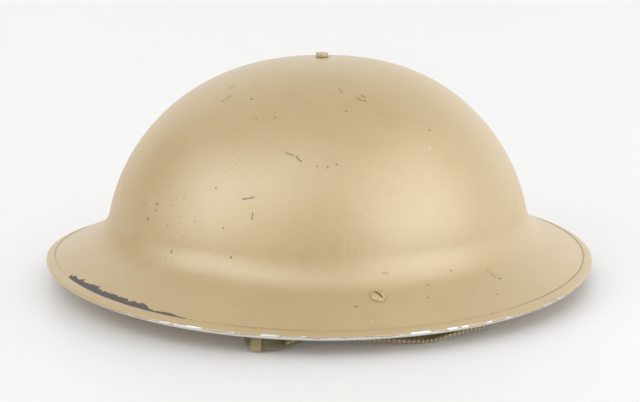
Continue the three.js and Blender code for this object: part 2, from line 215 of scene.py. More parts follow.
shell_lines = [shell_line(tau * step / SHELL_STEPS) for step in range(SHELL_STEPS)]
side_line = shell_lines[SHELL_STEPS // 4]
up_the_line = [0.0]
for lower, upper in zip(side_line, side_line[1:]):
    up_the_line.append(up_the_line[-1] + (upper - lower).length)
shell_mesh = drum(len(side_line), SHELL_STEPS)
draw_out(shell_mesh, SHELL_STEPS, shell_lines, up_the_line)
for side in (-1, 1):
    pierce(shell_mesh, lug_frame(side).translation, LUG_HOLE)
shell = finish_mesh(shell_mesh, "pressed_shell", HELMET)
wall = shell.modifiers.new("sheet_thickness", "SOLIDIFY")
wall.thickness = SHEET
wall.offset = -1
wall.material_offset = 1  # the inner wall has a paint of its own
seat(shell, "sand_paint", "shell")


def wire(tree, kind, inputs=(), output=0, **settings):
    """Adds a shader node, fills its inputs with values or other nodes' outputs, and returns one output."""
    node = tree.nodes.new("ShaderNode" + kind)
    for key, value in settings.items():
        setattr(node, key, value)
    for key, value in dict(inputs).items():
        if isinstance(value, bpy.types.NodeSocket):
            tree.links.new(value, node.inputs[key])
        else:
            node.inputs[key].default_value = value
    return node.outputs[output] if node.outputs else node


def blank_material(name):
    """A material with nothing in it yet, and its tree of nodes."""
    material = bpy.data.materials.new(name)
    material.use_nodes = True
    material.node_tree.nodes.clear()
    return material, material.node_tree


def reckon(tree, operation, *values, clamp=False):
    """One sum on numbers."""
    return wire(tree, "Math", enumerate(values), operation=operation, use_clamp=clamp)


def times(tree, one, other):
    """One number or output times another."""
    return reckon(tree, "MULTIPLY", one, other)


def parts_of(tree, value):
    """The three parts of a place, a direction or a colour."""
    node = tree.nodes.new("ShaderNodeSeparateXYZ")
    tree.links.new(value, node.inputs[0])
    return node.outputs


def ramp(tree, value, low, high):
    """0 below low, 1 above high, and a soft step between them."""
    inputs = {"Value": value, "From Min": low, "From Max": high}
    return wire(tree, "MapRange", inputs, interpolation_type="SMOOTHSTEP")


def spread(tree, value, low, high, to_low, to_high):
    """The values from low to high spread evenly from to_low to to_high."""
    inputs = {"Value": value, "From Min": low, "From Max": high, "To Min": to_low, "To Max": to_high}
    return wire(tree, "MapRange", inputs)


def cloud(tree, place, size, detail=2.0, roughness=0.5, shift=0.0):
    """Even noise from 0 to 1 whose blotches are about this size across."""
    centred = wire(tree, "Mapping", {"Vector": place, "Location": (shift, 2 * shift, 3 * shift)})
    inputs = {"Vector": centred, "Scale": 1 / size, "Detail": detail, "Roughness": roughness}
    return wire(tree, "TexNoise", inputs)


def tint(tree, amount, under, over):
    """The colour over laid on the colour under by this amount."""
    return wire(tree, "Mix", {0: amount, 6: under, 7: over}, output=2, data_type="RGBA")


def blend_numbers(tree, amount, under, over):
    """The number over laid on the number under by this amount."""
    return wire(tree, "Mix", {0: amount, 2: under, 3: over})


def mark_group():
    """A group that gives how far a point is from a short line on the paint, less the line's half width."""
    group = bpy.data.node_groups.new("distance_to_mark", "ShaderNodeTree")
    for name, kind in (("Place", "Vector"), ("Start", "Vector"), ("Way", "Vector"), ("Half width", "Float")):
        group.interface.new_socket(name, in_out="INPUT", socket_type="NodeSocket" + kind)
    group.interface.new_socket("Distance", in_out="OUTPUT", socket_type="NodeSocketFloat")
    given = group.nodes.new("NodeGroupInput").outputs
    reach = wire(group, "VectorMath", {0: given["Place"], 1: given["Start"]}, operation="SUBTRACT")
    along = wire(group, "VectorMath", {0: reach, 1: given["Way"]}, output=1, operation="DOT_PRODUCT")
    whole = wire(group, "VectorMath", {0: given["Way"], 1: given["Way"]}, output=1, operation="DOT_PRODUCT")
    share = reckon(group, "DIVIDE", along, whole, clamp=True)
    nearest = wire(group, "VectorMath", {0: given["Way"], "Scale": share}, operation="SCALE")
    gap = wire(group, "VectorMath", {0: reach, 1: nearest}, operation="SUBTRACT")
    length = wire(group, "VectorMath", {0: gap}, output=1, operation="LENGTH")
    less = reckon(group, "SUBTRACT", length, given["Half width"])
    group.links.new(less, group.nodes.new("NodeGroupOutput").inputs[0])
    return group


DISTANCE_TO_MARK = mark_group()


def marks(tree, place, lines, softness):
    """1 on these marks, given as start, end and half width in millimetres, and 0 away from them."""
    nearest = None
    for start, end, half_width in lines:
        start, end = Vector(start) / 1000, Vector(end) / 1000
        node = tree.nodes.new("ShaderNodeGroup")
        node.node_tree = DISTANCE_TO_MARK
        tree.links.new(place, node.inputs["Place"])
        node.inputs["Start"].default_value = start
        node.inputs["Way"].default_value = end - start
        node.inputs["Half width"].default_value = half_width / 1000
        distance = node.outputs[0]
        nearest = distance if nearest is None else reckon(tree, "MINIMUM", nearest, distance)
    return ramp(tree, nearest, softness / 1000, 0)


def spots(tree, place, centres, softness):
    """1 on these round spots, given as centre and radius in millimetres, and 0 away from them."""
    nearest = None
    for centre, radius in centres:
        centre = Vector(centre) / 1000
        away = wire(tree, "VectorMath", {0: place, 1: centre}, output=1, operation="DISTANCE")
        away = reckon(tree, "SUBTRACT", away, radius / 1000)
        nearest = away if nearest is None else reckon(tree, "MINIMUM", nearest, away)
    return ramp(tree, nearest, softness / 1000, 0)


SAND, SAND_PALE, SAND_BROWN = (0.545, 0.398, 0.188, 1), (0.58, 0.43, 0.215, 1), (0.46, 0.325, 0.15, 1)
GLOSSIEST, ROUGHEST = 0.24, 0.46  # the paint's roughness over its grain
GRAIN_HEIGHT = 0.00008


def painted(name, wear):
    """Sand paint, and the layers of wear that lie over it or show through it.

    Each layer has an amount, a colour, a roughness, a share of metal and a depth.
    """
    material, tree = blank_material(name)
    place = wire(tree, "TexCoord", output="Object")
    broad = cloud(tree, place, 0.07, detail=3)
    middling = cloud(tree, place, 0.012, detail=3, shift=0.3)
    fine = cloud(tree, place, 0.0011, detail=2, roughness=0.6, shift=0.7)
    colour = tint(tree, ramp(tree, broad, 0.3, 0.7), SAND, SAND_PALE)
    colour = tint(tree, times(tree, ramp(tree, middling, 0.5, 0.75), 0.22), colour, SAND_BROWN)
    colour = tint(tree, times(tree, ramp(tree, fine, 0.58, 0.72), 0.16), colour, SAND_BROWN)
    rough = spread(tree, fine, 0, 1, GLOSSIEST, ROUGHEST)
    metal = 0.0
    relief = times(tree, fine, 2.2)
    relief = reckon(tree, "ADD", relief, times(tree, middling, 0.6))
    for amount, shade, roughness, metallic, depth in wear(tree, place):
        colour = tint(tree, amount, colour, shade)
        rough = blend_numbers(tree, amount, rough, roughness)
        if metallic != metal:
            metal = blend_numbers(tree, amount, metal, metallic)
        relief = reckon(tree, "SUBTRACT", relief, times(tree, amount, depth))
    bump = wire(tree, "Bump", {"Height": relief, "Strength": 1.0, "Distance": GRAIN_HEIGHT})
    inputs = {
        "Base Color": colour,
        "Roughness": rough,
        "Metallic": metal,
        "Normal": bump,
        "IOR": 1.58,
        "Specular IOR Level": 1.0,
    }
    surface = wire(tree, "BsdfPrincipled", inputs)
    wire(tree, "OutputMaterial", {"Surface": surface})
    return material


DIRT, FAINT_DIRT = (0.16, 0.1, 0.045, 1), (0.3, 0.21, 0.1, 1)
RUST, RUST_STAIN = (0.3, 0.15, 0.04, 1), (0.56, 0.3, 0.08, 1)
RUBBED, CHIPPED_PAINT = (0.66, 0.56, 0.34, 1), (0.85, 0.8, 0.7, 1)
PRIMER = (0.075, 0.061, 0.055, 1)
# Lines on the shell in millimetres: start, end, half width.
SCRATCHES = [
    ((-37.6, -77.4, 84.7), (-34.6, -79.7, 83.5), 0.22),
    ((-33.3, -80.6, 83.1), (-31.4, -83.1, 81.0), 0.25),
    ((-60.5, -81.6, 63.3), (-55.5, -83.9, 64.5), 0.25),
    ((-56.8, -87.1, 57.3), (-57.6, -88.1, 54.6), 0.2),
    ((50.4, -135.1, 12.0), (53.2, -138.4, 10.3), 0.25),
]
SCUFFS = [
    ((-60.3, -30.5, 103.2), (-55.3, -29.7, 106.0), 0.5),
    ((-54.6, -21.3, 108.3), (-51.0, -20.0, 109.5), 0.4),
    ((-2.9, -50.9, 110.8), (-2.3, -54.0, 109.3), 0.5),
    ((2.3, -112.2, 29.4), (5.0, -112.4, 29.3), 0.3),
    ((60.0, -103.4, 24.2), (63.6, -107.9, 21.0), 0.25),
]
RUST_STAINS = [
    ((4.9, -59.2, 106.6), (5.9, -60.0, 106.1), 0.6),
    ((7.8, -56.3, 108.1), (8.5, -57.9, 107.2), 0.5),
]
RUBBED_LINES = [((17.1, -83.1, 85.9), (37.1, -79.2, 84.1), 0.15)]
# Round spots on the shell in millimetres: centre, radius.
SPECKS = [
    ((-14.5, -88.2, 79.6), 0.5),
    ((-68.4, -88.3, 36.0), 0.5),
    ((-19.1, -88.3, 78.4), 0.35),
    ((-24.3, -86.8, 78.9), 0.3),
    ((39.6, -71.5, 90.7), 0.4),
    ((-47.8, -55.3, 98.2), 0.35),
    ((-39.0, -59.7, 99.0), 0.35),
    ((-24.0, -30.8, 115.3), 0.3),
    ((-15.5, -126.4, 18.5), 0.5),
    ((21.7, -124.2, 19.1), 0.5),
    ((59.1, -121.2, 16.5), 0.4),
    ((-3.6, -66.5, 101.9), 0.35),
    ((8.0, -60.7, 105.6), 0.6),
    ((-98.4, -47.7, 55.0), 0.6),
    ((-99.2, -48.8, 52.1), 0.5),
    ((-103.0, -45.8, 46.9), 0.7),
    ((-94.5, -65.6, 34.3), 0.5),
    ((-70.9, -81.8, 49.4), 0.4),
    ((-71.9, -70.5, 67.1), 0.4),
    ((-47.0, -40.9, 105.7), 0.6),
    ((24.4, -116.1, 22.7), 0.4),
    ((38.9, -108.7, 26.7), 0.35),
    ((65.5, -108.8, 20.3), 0.55),
]
RUST_HALO = [((5.8, -59.0, 106.8), 1.5), ((7.6, -58.2, 107.1), 1.3)]
CHIPPED = [((-11.0, -136.9, 14.2), 0.45), ((36.9, -80.3, 82.9), 0.3)]


def specks(tree, place, spacing, radius, share):
    """Small round spots, at most one in each cell of this spacing and only in this share of the cells."""
    cells = tree.nodes.new("ShaderNodeTexVoronoi")
    cells.inputs["Scale"].default_value = 1 / spacing
    tree.links.new(place, cells.inputs["Vector"])
    spot = ramp(tree, cells.outputs["Distance"], radius / spacing, 0.4 * radius / spacing)
    chance = parts_of(tree, cells.outputs["Color"])[0]
    return times(tree, spot, reckon(tree, "LESS_THAN", chance, share))


def chart_of(tree):
    """How far round the helmet a point is, in turns from 0 to 1, and how far across its sheet."""
    parts = parts_of(tree, wire(tree, "UVMap", uv_map="round_and_across"))
    return reckon(tree, "WRAP", parts[0], 1.0, 0.0), parts[1]


def between(tree, value, low, high, softness):
    """1 from low to high, with a soft step to 0 on either side."""
    rising, falling = ramp(tree, value, low - softness, low), ramp(tree, value, high + softness, high)
    return times(tree, rising, falling)


def torn_place(tree, place):
    """The place, jogged by up to half a millimetre, which frays the marks drawn on it."""
    frayed = wire(tree, "TexNoise", {"Vector": place, "Scale": 900, "Detail": 2.0}, output=1)
    frayed = wire(tree, "VectorMath", {0: frayed, 1: (0.5, 0.5, 0.5)}, operation="SUBTRACT")
    frayed = wire(tree, "VectorMath", {0: frayed, "Scale": 0.0011}, operation="SCALE")
    return wire(tree, "VectorMath", {0: place, 1: frayed}, operation="ADD")


FLANGE = 0.0045  # how far the rim band reaches up the brim
SEAM_LOW, SEAM_HIGH = FLANGE, FLANGE + 0.00035  # the strip beside the band that gathers dirt
SPECKLED_SIDE, SPECKLED_REACH = (-0.096, -0.056, 0.046), 0.034  # round here the specks are many
# In turns from the rear, round by the right: where the dirty stretches of the seam start and end, and how
# softly. Then where the flake starts, begins to thin, is thin and ends.
LEFT_REAR, LEFT_FRONT = (0.83, 0.97, 0.02), (0.665, 0.7, 0.008)
FLAKE_START, FLAKE_THINS, FLAKE_THIN, FLAKE_END = 0.5375, 0.605, 0.622, 0.641
FLAKE_FOOT = FLANGE + 0.0006
FLAKE_LOWEST, FLAKE_HIGHEST = 0.0009, 0.0058  # how far its ragged top is above its foot


def shell_wear(tree, place):
    """Rust, scuffs, specks and scratches, dirt beside the rim band, and the flake lost at the front left."""
    torn = torn_place(tree, place)
    halo = spots(tree, torn, RUST_HALO, 2.2)
    yield times(tree, halo, 0.4), RUST_STAIN, 0.6, 0.0, 0.0
    yield times(tree, marks(tree, torn, RUST_STAINS, 0.5), 0.6), RUST, 0.7, 0.0, 0.2
    yield times(tree, marks(tree, torn, SCUFFS, 0.5), 0.55), FAINT_DIRT, 0.5, 0.0, 0.2
    yield times(tree, marks(tree, torn, RUBBED_LINES, 0.25), 0.45), RUBBED, 0.4, 0.0, 0.0
    yield times(tree, spots(tree, torn, CHIPPED, 0.2), 0.7), CHIPPED_PAINT, 0.4, 0.0, 0.0
    away = wire(tree, "VectorMath", {0: place, 1: SPECKLED_SIDE}, output=1, operation="DISTANCE")
    speckled = times(tree, ramp(tree, away, SPECKLED_REACH, 0.4 * SPECKLED_REACH), 0.85)
    yield times(tree, specks(tree, torn, 0.0028, 0.00055, 0.45), speckled), DIRT, 0.6, 0.0, 0.3
    yield times(tree, specks(tree, torn, 0.009, 0.00042, 0.12), 0.7), DIRT, 0.6, 0.0, 0.4
    yield times(tree, specks(tree, torn, 0.0032, 0.0005, 0.25), 0.35), SAND_BROWN, 0.5, 0.0, 0.2
    dark = reckon(tree, "MAXIMUM", marks(tree, torn, SCRATCHES, 0.35), spots(tree, torn, SPECKS, 0.35))
    yield times(tree, dark, 0.85), DIRT, 0.6, 0.0, 0.6

    turn, across = chart_of(tree)
    seam = between(tree, across, SEAM_LOW, SEAM_HIGH, 0.00015)
    at_left_rear = between(tree, turn, *LEFT_REAR)
    at_left_front = between(tree, turn, *LEFT_FRONT)
    strong = reckon(tree, "MAXIMUM", at_left_rear, at_left_front)
    broken = ramp(tree, cloud(tree, place, 0.008, detail=3, shift=0.5), 0.45, 0.6)
    strong, broken = times(tree, strong, 0.75), times(tree, broken, 0.3)
    seam_dirt = reckon(tree, "MAXIMUM", strong, broken)
    yield times(tree, seam, seam_dirt), DIRT, 0.7, 0.0, 0.3

    ragged = cloud(tree, place, 0.0055, detail=4, roughness=0.7, shift=0.11)
    height = spread(tree, ragged, 0.3, 0.7, FLAKE_LOWEST, FLAKE_HIGHEST)
    whole, tail = ramp(tree, turn, FLAKE_THIN, FLAKE_THINS), ramp(tree, turn, FLAKE_END, FLAKE_END - 0.008)
    taper = times(tree, reckon(tree, "MULTIPLY_ADD", whole, 0.72, 0.28), tail)
    top = reckon(tree, "MULTIPLY_ADD", height, taper, FLAKE_FOOT)
    within = reckon(tree, "COMPARE", turn, (FLAKE_START + FLAKE_END) / 2, (FLAKE_END - FLAKE_START) / 2)
    lost = ramp(tree, reckon(tree, "SUBTRACT", across, top), 0.00008, -0.00008)
    yield times(tree, lost, within), PRIMER, 0.8, 0.0, 1.6


def inside_wear(tree, place):
    """Broad brown stains and rust freckles, inside the bowl and under the brim."""
    stained = ramp(tree, cloud(tree, place, 0.03, detail=4, roughness=0.6, shift=0.6), 0.48, 0.7)
    yield times(tree, stained, 0.5), SAND_BROWN, 0.55, 0.0, 0.1
    yield times(tree, specks(tree, place, 0.007, 0.0005, 0.25), 0.6), RUST, 0.7, 0.0, 0.2


for finish in (painted("sand_paint_shell", shell_wear), painted("sand_paint_inside", inside_wear)):
    shell.data.materials.append(finish)


# ---- Rim band -------------------------------------------------------------
# A narrow strip of soft steel folded over the raw edge of the brim, all the
# way round. Painted with the shell, and worn to bare metal along the fold.

BAND_OUT = 0.00125  # from the middle of the sheet to the outside of the band
BAND_THICKNESS = 0.00045
INNER_FOLD, BAND_IN = EDGE_INSET - BAND_THICKNESS, BAND_OUT - BAND_THICKNESS
FOLD_STEPS = 12
LIP_ROUND = 0.0002  # where the lower lip's corner is eased

# The strip's section, up the brim and off it: upper lip, outside of the fold, lower lip, and back inside.
upper_lip = [(FLANGE, 0.00056), (FLANGE - 0.0001, 0.0008), (FLANGE - 0.0004, 0.00097)]
lower_lip = [(FLANGE - LIP_ROUND, -BAND_OUT), (FLANGE, LIP_ROUND - BAND_OUT), (FLANGE, -BAND_IN)]
fold_angles = [pi * step / FOLD_STEPS for step in range(FOLD_STEPS + 1)]
fold_outside = [(-EDGE_INSET * sin(angle), BAND_OUT * cos(angle)) for angle in fold_angles]
fold_inside = [(-INNER_FOLD * sin(angle), BAND_IN * cos(angle)) for angle in reversed(fold_angles)]
band_section = upper_lip + fold_outside + lower_lip + fold_inside

band_lines = []
for step in range(SHELL_STEPS):
    brim = Brim(tau * step / SHELL_STEPS)
    band_lines.append([brim.at(along, out) for along, out in band_section])
round_the_section = [0.0]
for (a, b), (c, d) in zip(band_section, band_section[1:] + band_section[:1]):
    round_the_section.append(round_the_section[-1] + ((c - a) ** 2 + (d - b) ** 2) ** 0.5)
band_mesh = drum(len(band_section), SHELL_STEPS, closed=True)
draw_out(band_mesh, SHELL_STEPS, band_lines, round_the_section, closed_rows=True)
rim_band = finish_mesh(band_mesh, "folded_rim_band", HELMET)
seat(rim_band, "rim_steel", "rim_band")

BARE = (0.74, 0.73, 0.71, 1)
MOST_WORN = 0.72  # turns from the rear, at the left side
# Across the strip from its upper lip: where paint ends at the most worn stretch, how much later it ends for
# each turn away from there, and where the bare steel ends under the brim.
PAINT_END, PAINT_GAIN, BARE_END = 0.0056, 0.0085, 0.0086
RIM_ROUND, CHIP_STRETCH = 0.94, 3.5  # the length of the rim, and how much longer than high the chips are
# Longer bites in the paint above the fold: from turn to turn, and how deep.
BITES = [
    (0.628, 0.634, 0.0009),
    (0.637, 0.652, 0.0011),
    (0.6835, 0.6905, 0.0014),
    (0.755, 0.7635, 0.0010),
    (0.7745, 0.7785, 0.0012),
    (0.7815, 0.785, 0.0010),
    (0.7965, 0.799, 0.0009),
    (0.838, 0.846, 0.0010),
    (0.852, 0.859, 0.0012),
]


def band_wear(tree, place):
    """Paint rubbed off the fold to a ragged edge with bites in it, and a dark line where it meets steel."""
    turn, across = chart_of(tree)
    from_worst = reckon(tree, "WRAP", reckon(tree, "SUBTRACT", turn, MOST_WORN), 0.5, -0.5)
    from_worst = reckon(tree, "ABSOLUTE", from_worst)
    beyond = reckon(tree, "MAXIMUM", reckon(tree, "SUBTRACT", from_worst, 0.05), 0.0)
    kept = reckon(tree, "MULTIPLY_ADD", beyond, PAINT_GAIN, PAINT_END)
    along = times(tree, turn, RIM_ROUND / CHIP_STRETCH)
    rolled_out = wire(tree, "CombineXYZ", {0: along, 1: across})
    ragged = cloud(tree, rolled_out, 0.003, detail=4, roughness=0.7)
    edge = reckon(tree, "ADD", kept, spread(tree, ragged, 0.3, 0.7, 0.0005, -0.0005))
    chipped = ramp(tree, cloud(tree, rolled_out, 0.0022, detail=2, shift=0.4), 0.56, 0.66)
    worn_side = ramp(tree, from_worst, 0.2, 0.12)
    edge = reckon(tree, "MULTIPLY_ADD", times(tree, chipped, worn_side), -0.0009, edge)
    for start, end, depth in BITES:
        edge = reckon(tree, "MULTIPLY_ADD", between(tree, turn, start, end, 0.0006), -depth, edge)
    beyond_edge = reckon(tree, "SUBTRACT", across, edge)
    bare = ramp(tree, beyond_edge, -0.00005, 0.00005)
    lower = ramp(tree, reckon(tree, "SUBTRACT", across, BARE_END), 0.0004, 0)
    dark_line = times(tree, between(tree, beyond_edge, -0.0002, 0.0, 0.0001), 0.5)
    yield dark_line, DIRT, 0.6, 0.0, 0.0
    yield times(tree, bare, lower), BARE, 0.42, 1.0, 1.2


rim_band.data.materials.append(painted("sand_paint_rim_band", band_wear))


# ---- Crown screw and nut --------------------------------------------------
# A cheese-head screw through the crown held the lining's centre, with a nut
# inside. The head was painted over with the shell; the nut is dull steel.

CROWN_HEAD = dict(radius=0.0034, low=0.0003, high=0.0024, slot_half=0.0005, slot_floor=0.0015)
SHANK_RADIUS, SHANK_END = 0.002, -0.009
CHAMFER = 0.0005
SCREW_STEPS = 40
CRISP = 35  # degrees between faces, above which an edge stays sharp


def turned_screw(profile):
    """A screw turned from its profile, with the poles closed."""
    mesh = turned(profile, SCREW_STEPS)
    bmesh.ops.remove_doubles(mesh, verts=mesh.verts, dist=1e-6)
    return mesh


def lies_at(edge, axis, place):
    """Whether both ends of the edge have this coordinate."""
    return all(abs(vert.co[axis] - place) < 1e-6 for vert in edge.verts)


def fill_in(mesh, edges):
    """A new face between these edges, with the piece's second finish."""
    for face in bmesh.ops.contextual_create(mesh, geom=edges)["faces"]:
        face.material_index = 1


def cut_slot(mesh, half_width, floor):
    """A driver slot along local X: cut beside it and at its floor, emptied, then given walls and a floor."""
    cuts = [((0, half_width, 0), (0, 1, 0)), ((0, -half_width, 0), (0, 1, 0)), ((0, 0, floor), (0, 0, 1))]
    for point, normal in cuts:
        everything = mesh.verts[:] + mesh.edges[:] + mesh.faces[:]
        bmesh.ops.bisect_plane(mesh, geom=everything, dist=1e-7, plane_co=point, plane_no=normal)
    inside = [
        face
        for face in mesh.faces
        if abs(face.calc_center_median().y) < half_width and face.calc_center_median().z > floor
    ]
    bmesh.ops.delete(mesh, geom=inside, context="FACES")
    ends = [vert for vert in mesh.verts if vert.is_boundary and abs(vert.co.z - floor) < 1e-6]
    for side in (-1, 1):
        corners = [vert for vert in ends if abs(vert.co.y - side * half_width) < 1e-6]
        mesh.edges.new(corners)
        loose = [edge for edge in mesh.edges if edge.is_boundary or edge.is_wire]
        fill_in(mesh, [edge for edge in loose if lies_at(edge, 1, side * half_width)])
    fill_in(mesh, [edge for edge in mesh.edges if edge.is_boundary and lies_at(edge, 2, floor)])


def keep_edges_crisp(piece):
    """Smooth shading, but sharp where the faces meet at a clear angle."""
    sharp = bmesh.new()
    sharp.from_mesh(piece.data)
    for edge in sharp.edges:
        edge.smooth = not edge.is_manifold or edge.calc_face_angle(0) < radians(CRISP)
    sharp.to_mesh(piece.data)
    sharp.free()


crown_mesh = turned_screw(
    [
        (0, SHANK_END),
        (SHANK_RADIUS, SHANK_END),
        (SHANK_RADIUS, CROWN_HEAD["low"]),
        (CROWN_HEAD["radius"], CROWN_HEAD["low"]),
        (CROWN_HEAD["radius"], CROWN_HEAD["high"] - CHAMFER),
        (CROWN_HEAD["radius"] - CHAMFER * 0.3, CROWN_HEAD["high"] - CHAMFER * 0.3),
        (CROWN_HEAD["radius"] - CHAMFER, CROWN_HEAD["high"]),
        (0, CROWN_HEAD["high"]),
    ]
)
cut_slot(crown_mesh, CROWN_HEAD["slot_half"], CROWN_HEAD["slot_floor"])
crown_frame = HELMET @ Matrix.Translation(CROWN)
crown_screw = finish_mesh(crown_mesh, "crown_cheese_head_screw", crown_frame)
keep_edges_crisp(crown_screw)
seat(crown_screw, "sand_paint", "crown_screw")

RUBBED_THIN, OLIVE_CAST = (0.3, 0.24, 0.15, 1), (0.56, 0.5, 0.27, 1)


def screw_wear(tree, place):
    """Paint rubbed thin and brown here and there."""
    rubbed = ramp(tree, cloud(tree, place, 0.0025, detail=3, shift=0.2), 0.55, 0.68)
    yield times(tree, rubbed, 0.5), RUBBED_THIN, 0.45, 0.0, 0.3


def grime():
    """Dark dirt packed into a driver slot."""
    material, tree = blank_material("slot_grime")
    place = wire(tree, "TexCoord", output="Object")
    lumps = cloud(tree, place, 0.0008, detail=3)
    colour = tint(tree, lumps, (0.2, 0.13, 0.07, 1), (0.38, 0.28, 0.16, 1))
    bump = wire(tree, "Bump", {"Height": lumps, "Distance": 0.0001})
    surface = wire(tree, "BsdfPrincipled", {"Base Color": colour, "Roughness": 0.85, "Normal": bump})
    wire(tree, "OutputMaterial", {"Surface": surface})
    return material


def crown_screw_wear(tree, place):
    """An olive cast from an older coat, and the wear of the other screws."""
    yield 0.6, OLIVE_CAST, 0.4, 0.0, 0.0
    yield from screw_wear(tree, place)


screw_paint = painted("sand_paint_screws", screw_wear)
slot_dirt = grime()
for finish in (painted("olive_paint_crown_screw", crown_screw_wear), slot_dirt):
    crown_screw.data.materials.append(finish)


def dull_steel():
    """Bare nut steel gone dull, with faint cloudy stains."""
    material, tree = blank_material("dull_nut_steel")
    place = wire(tree, "TexCoord", output="Object")
    stained = cloud(tree, place, 0.003, detail=3)
    colour = tint(tree, stained, (0.36, 0.35, 0.33, 1), (0.24, 0.22, 0.19, 1))
    rough = spread(tree, stained, 0, 1, 0.35, 0.6)
    surface = wire(tree, "BsdfPrincipled", {"Base Color": colour, "Roughness": rough, "Metallic": 1.0})
    wire(tree, "OutputMaterial", {"Surface": surface})
    return material


def refinish(node, material):
    """A CAD piece keeps its shape and gets this finish."""
    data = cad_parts[node].data
    data.materials.clear()
    data.materials.append(material)


refinish("crown_nut", dull_steel())


# ---- Strap lugs and their screws ------------------------------------------
# A bent steel plate inside each side of the brim carries the chin strap on a
# bar. A low domed screw through the brim, painted over, holds it.

DOMED_HEAD = dict(radius=0.0037, low=0.0001, rise=0.0021, slot_half=0.0005, slot_depth=0.0008)
DOMED_HEAD["top"] = DOMED_HEAD["low"] + DOMED_HEAD["rise"]
DOMED_WALL, DOMED_STEPS = 0.0005, 12  # the straight side below the dome
PEENED = dict(radius=SHANK_RADIUS + 0.001, low=-0.0045, high=-0.0033)  # the end spread under the lug's plate
SLOT_WAY = radians(-60)
domed_profile = [
    (0, PEENED["low"]),
    (PEENED["radius"], PEENED["low"]),
    (PEENED["radius"], PEENED["high"]),
    (SHANK_RADIUS, PEENED["high"]),
    (SHANK_RADIUS, DOMED_HEAD["low"]),
    (DOMED_HEAD["radius"], DOMED_HEAD["low"]),
]
for step in range(DOMED_STEPS + 1):
    angle = pi / 2 * step / DOMED_STEPS
    height = DOMED_HEAD["low"] + DOMED_WALL + (DOMED_HEAD["rise"] - DOMED_WALL) * sin(angle)
    domed_profile.append((DOMED_HEAD["radius"] * cos(angle), height))

for name, side in (("left", -1), ("right", 1)):
    domed_mesh = turned_screw(domed_profile)
    cut_slot(domed_mesh, DOMED_HEAD["slot_half"], DOMED_HEAD["top"] - DOMED_HEAD["slot_depth"])
    screw_place = HELMET @ lug_frame(side) @ Matrix.Rotation(SLOT_WAY, 4, "Z")
    lug_screw = finish_mesh(domed_mesh, f"domed_lug_screw_{name}", screw_place)
    keep_edges_crisp(lug_screw)
    seat(lug_screw, "sand_paint", f"lug_screw_{name}")
    for finish in (screw_paint, slot_dirt):
        lug_screw.data.materials.append(finish)
    refinish(f"strap_lug_{name}", screw_paint)


# ---- Chin strap -----------------------------------------------------------
# A flat loop from lug to lug: a webbing tab at each end, woven elastic sewn
# flat between them, and a keeper, a sleeve of webbing. It lies folded under the
# left of the brim.

STRAP_WIDTH = 0.013
WEBBING, ELASTIC = 0.0018, 0.0022  # thicknesses
KEEPER_WALL, KEEPER_CLEARANCE = 0.0005, 0.0006
# The strap's lower edge on its way from the left lug, in millimetres: x, y and height above the surface.
# Last comes how many degrees the strap leans up from flat.
ROUTE = [
    (29, -118, 8, 143),
    (38, -113.5, 5.5, 125),
    (46.5, -110.5, 3.5, 102),
    (53.5, -111.5, 2.8, 86),
    (57.5, -118, 2.6, 74),
    (55.5, -126, 2.6, 62),
    (48, -131.5, 2.6, 46),
    (38.5, -134.5, 2.6, 26),
    (28.5, -136.3, 1.7, 8),
    (18, -136.5, 0, 3),
    (3.7, -136.6, 1.4, 3),
    (-15, -134, 3, 5),
    (-30, -130.8, 4, 10),
    (-41, -128, 3.3, 28),
    (-51, -128.5, 1.2, 44),
    (-60.5, -128.4, 1.1, 62),
    (-66.3, -124.6, 1.1, 66),
    (-67, -117, 1.1, 77),
    (-64.5, -104, 0.2, 74),
    (-58, -84, 0, 50),
    (-47, -54, 0, 18),
    (-36, -20, 0, 0),
    (-30, 2, 0, 0),
    (-24, 24, 0, 0),
    (-18.5, 45, 0, 0),
    (-13.5, 66, 1.5, 0),
]
LAST_ROW = len(ROUTE) - 1
# Where the two seams and the keeper are, in rows of the route.
SEWN_LEFT, SEWN_RIGHT, KEPT = (0.25, 1.25), (13, 14), (15.25, 16)
STATIONS_PER_ROW = 4
NUDGE = 0.0025  # of a row, ahead and behind, which gives the way the strap runs


def through(points, row, even):
    """A smooth line through the points, at a row between them. Leans are spaced evenly and places are not."""
    first = min(int(row), len(points) - 2)
    share = row - first
    before = points[first - 1] if first else 2 * points[0] - points[1]
    start, end = points[first], points[first + 1]
    after = points[first + 2] if first + 2 < len(points) else 2 * points[-1] - points[-2]
    if even:
        leaving, arriving = (end - before) / 2, (after - start) / 2
    else:
        a, b, c = (max((q - p).length, 1e-9) ** 0.5 for p, q in ((before, start), (start, end), (end, after)))
        leaving = ((start - before) / a - (end - before) / (a + b) + (end - start) / b) * b
        arriving = ((end - start) / b - (after - start) / (b + c) + (after - end) / c) * b
    bend, twist = 3 * (end - start) - 2 * leaving - arriving, 2 * (start - end) + leaving + arriving
    return start + leaving * share + bend * share**2 + twist * share**3


route_places = [Vector((x, y, lift)) / 1000 for x, y, lift, lean in ROUTE]
route_leans = [Vector((lean, 0, 0)) for x, y, lift, lean in ROUTE]


def station(row, thickness, offset=0.0):
    """The strap at a row of its route: its middle, the way across it and the way off its outer face."""
    edge = through(route_places, row, even=False)
    ahead = through(route_places, min(row + NUDGE, LAST_ROW), even=False)
    behind = through(route_places, max(row - NUDGE, 0), even=False)
    heading = ((behind - ahead) * Vector((1, 1, 0))).normalized()
    lean = radians(max(through(route_leans, row, even=True).x, 0))
    across = UP.cross(heading) * cos(lean) + UP * sin(lean)
    off = heading.cross(across)
    edge.z = max(edge.z, 0) + thickness / 2 * abs(off.z)
    return edge + across * STRAP_WIDTH / 2 + off * offset, across, off


def route_part(start, end, thickness, offset_at=lambda row: 0.0):
    """The strap's stations from one row of its route to another."""
    steps = round((end - start) * STATIONS_PER_ROW)
    rows = [start + (end - start) * step / steps for step in range(steps + 1)]
    return [station(row, thickness, offset_at(row)) for row in rows]


